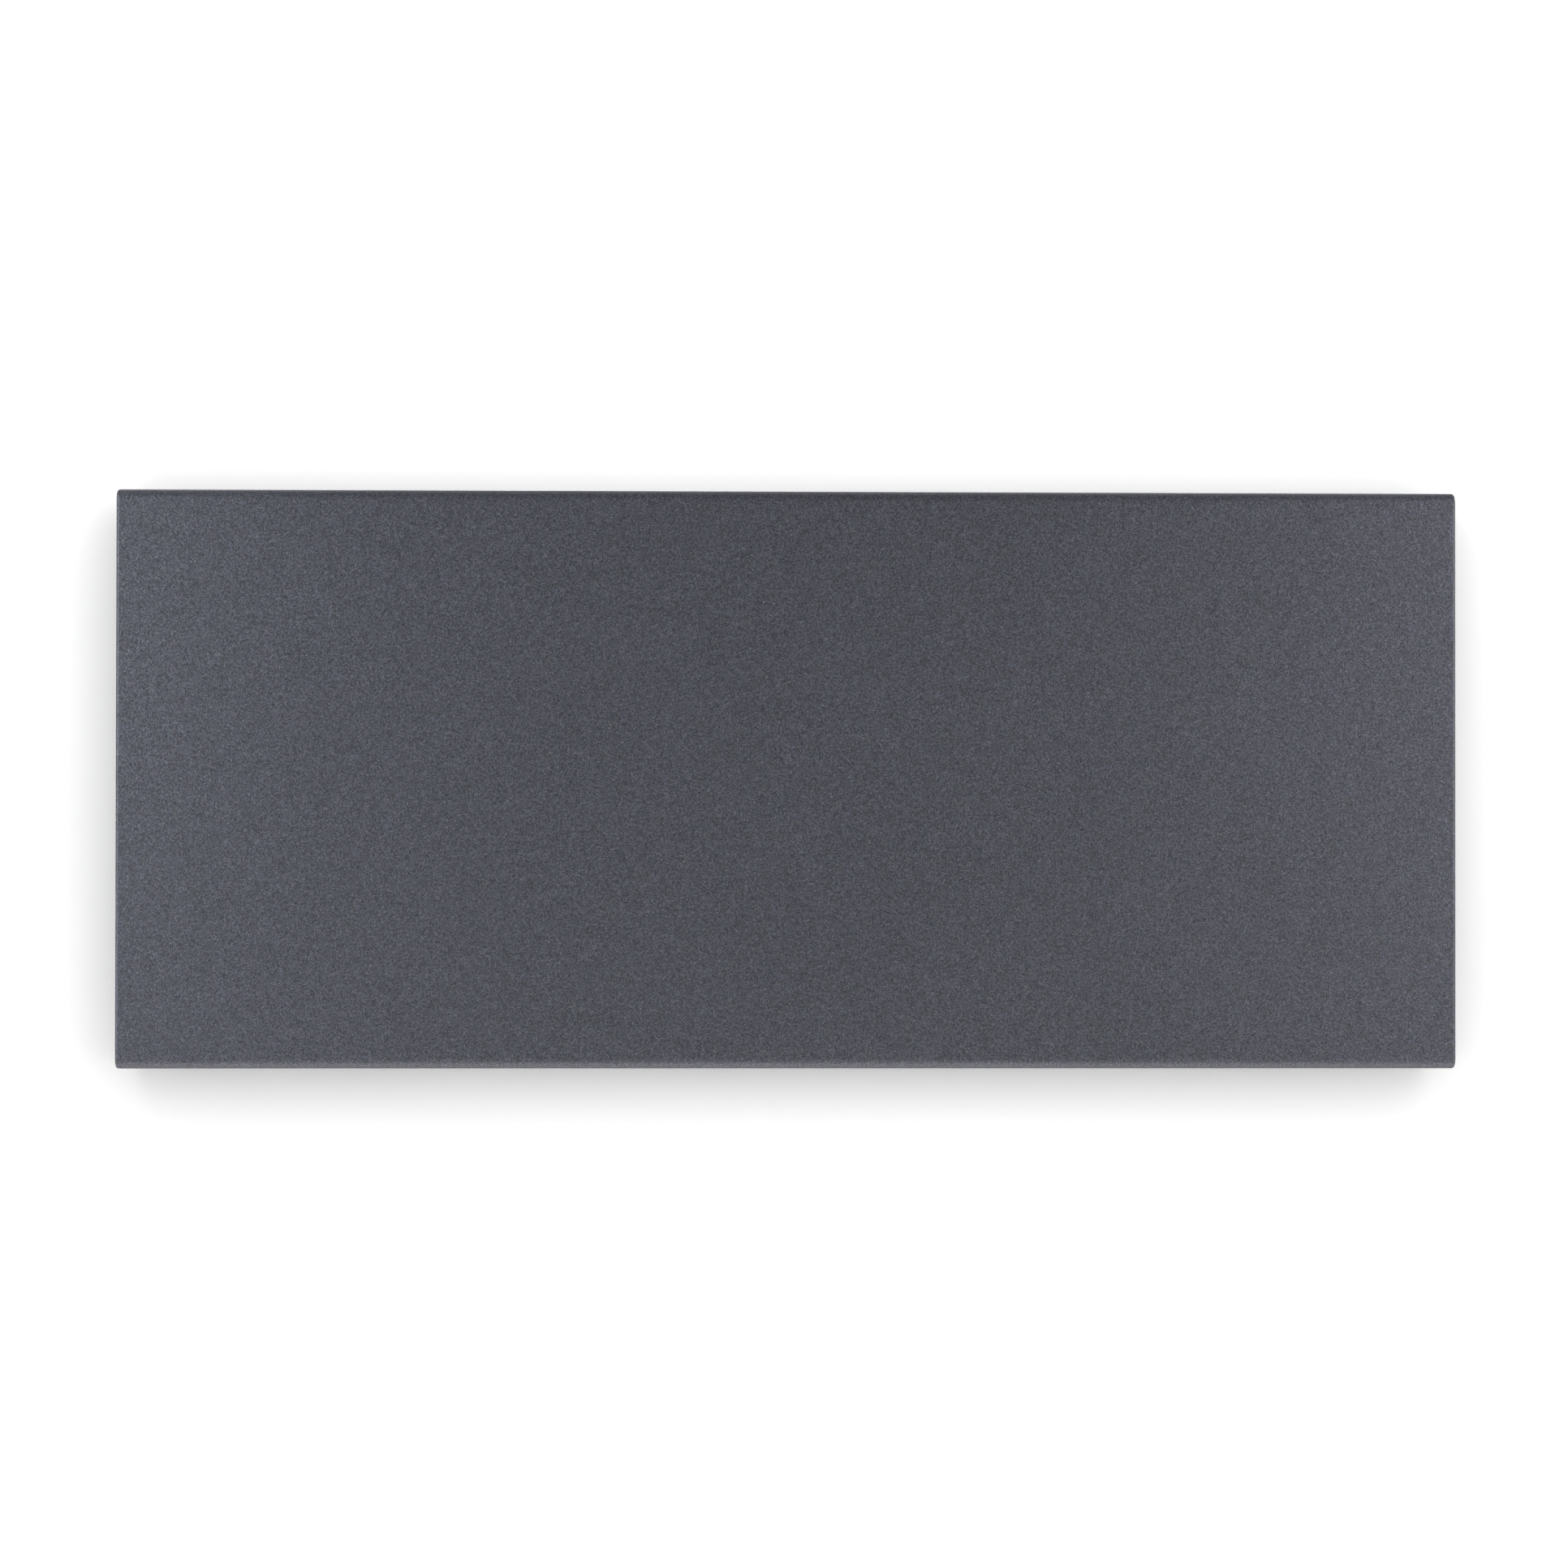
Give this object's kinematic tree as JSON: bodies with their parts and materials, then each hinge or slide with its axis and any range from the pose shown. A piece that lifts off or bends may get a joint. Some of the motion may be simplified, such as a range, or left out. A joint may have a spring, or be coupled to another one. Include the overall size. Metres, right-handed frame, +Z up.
{
  "type": "wall-mounted electric radiator",
  "caption": "Flat electric panel radiator with a folded steel front, top air outlet, controls at its right end, and a wall bracket that it tilts forward on.",
  "frame": {"origin": "middle of the wall bracket's four screw holes, on the wall plane", "axes": "+Z up, +X to the right of a person facing the radiator, +Y into the wall, so the front faces -Y"},
  "size_m": [0.8598, 0.084, 0.3706],
  "materials": {
    "panel_coat": "fine-textured metallic powder coat",
    "casing_coat": "fine-textured powder coat",
    "grille_coat": "satin powder coat",
    "bracket_zinc": "galvanised",
    "fastener_steel": "zinc plated",
    "pin_steel": "turned",
    "spring_steel": "rolled",
    "cap_plastic": "fine moulded texture",
    "switch_plastic": "glossy",
    "control_plastic": "satin moulded",
    "button_plastic": "satin moulded",
    "window_plastic": "polished",
    "shield_metal": "aluminised, matt",
    "fin_aluminium": "extruded",
    "sheath_steel": "heat tinted",
    "insulator_ceramic": "unglazed",
    "terminal_brass": "plain",
    "folded_steel": "galvanised sheet",
    "cutout_body": "phenolic",
    "bumper_rubber": "moulded",
    "board_laminate": "solder mask",
    "component_black": "moulded",
    "connector_plastic": "moulded",
    "block_plastic": "moulded",
    "display_face": "polished",
    "live_insulation": "insulation",
    "neutral_insulation": "insulation",
    "earth_insulation": "insulation",
    "lead_insulation": "glass-silicone sleeve"
  },
  "bodies": {
    "wall_bracket": {"bracket_left_upright": "bracket_zinc", "bracket_right_upright": "bracket_zinc", "bracket_upper_rail": "bracket_zinc", "bracket_lower_rail": "bracket_zinc", "bracket_rivets": "fastener_steel", "hinge_pins": "pin_steel", "bracket_bumpers": "bumper_rubber"},
    "heater": {"front_panel": "panel_coat", "front_stiffeners": "folded_steel", "rear_cover": "casing_coat", "outlet_grille": "grille_coat", "inlet_grille": "grille_coat", "right_end_cap": "cap_plastic", "left_end_cap": "cap_plastic", "rear_screws": "fastener_steel", "panel_screws": "fastener_steel", "right_hinge_hook": "bracket_zinc", "left_hinge_hook": "bracket_zinc", "right_catch_clip": "spring_steel", "left_catch_clip": "spring_steel", "cover_rivets": "fastener_steel", "heat_shield": "shield_metal", "element_fins": "fin_aluminium", "heating_tube": "sheath_steel", "element_insulators": "insulator_ceramic", "element_terminals": "terminal_brass", "element_brackets": "folded_steel", "element_screws": "fastener_steel", "thermal_cutout": "cutout_body", "cutout_clip": "folded_steel", "electrics_partition": "folded_steel", "partition_grommets": "bumper_rubber", "cable_gland": "component_black", "gland_nut": "component_black", "terminal_block": "block_plastic", "earth_screw": "terminal_brass", "rocker_housing": "switch_plastic", "rocker_terminals": "terminal_brass", "control_fascia": "control_plastic", "control_housing": "control_plastic", "display_window": "window_plastic", "display_board": "board_laminate", "display_module": "display_face", "tact_switches": "component_black", "power_board": "board_laminate", "board_connectors": "connector_plastic", "relay": "component_black", "supply_parts": "component_black", "wireless_module": "shield_metal", "room_sensor": "component_black", "live_wires": "live_insulation", "neutral_wire": "neutral_insulation", "earth_wire": "earth_insulation", "element_leads": "lead_insulation", "sensor_lead": "lead_insulation"},
    "minus_button": {"minus_button": "button_plastic"},
    "plus_button": {"plus_button": "button_plastic"},
    "ok_button": {"ok_button": "button_plastic"},
    "rocker_button": {"rocker_button": "switch_plastic"}
  },
  "joints": [
    {"name": "tilt_forward", "type": "hinge", "parent": "wall_bracket", "child": "heater", "pos_m": [0, -0.014, -0.15], "axis": [1, 0, 0], "range_deg": [0, 20]},
    {"name": "press_minus", "type": "slide", "parent": "heater", "child": "minus_button", "axis": [0, 0, -1], "range_m": [0, 0.0008], "stiffness_N_per_m": 1500},
    {"name": "press_plus", "type": "slide", "parent": "heater", "child": "plus_button", "axis": [0, 0, -1], "range_m": [0, 0.0008], "stiffness_N_per_m": 1500},
    {"name": "press_ok", "type": "slide", "parent": "heater", "child": "ok_button", "axis": [0, 0, -1], "range_m": [0, 0.0008], "stiffness_N_per_m": 1500},
    {"name": "rock_switch", "type": "hinge", "parent": "heater", "child": "rocker_button", "pos_m": [0.4268, -0.055, -0.11], "axis": [0, -1, 0], "range_deg": [0, 14]}
  ]
}
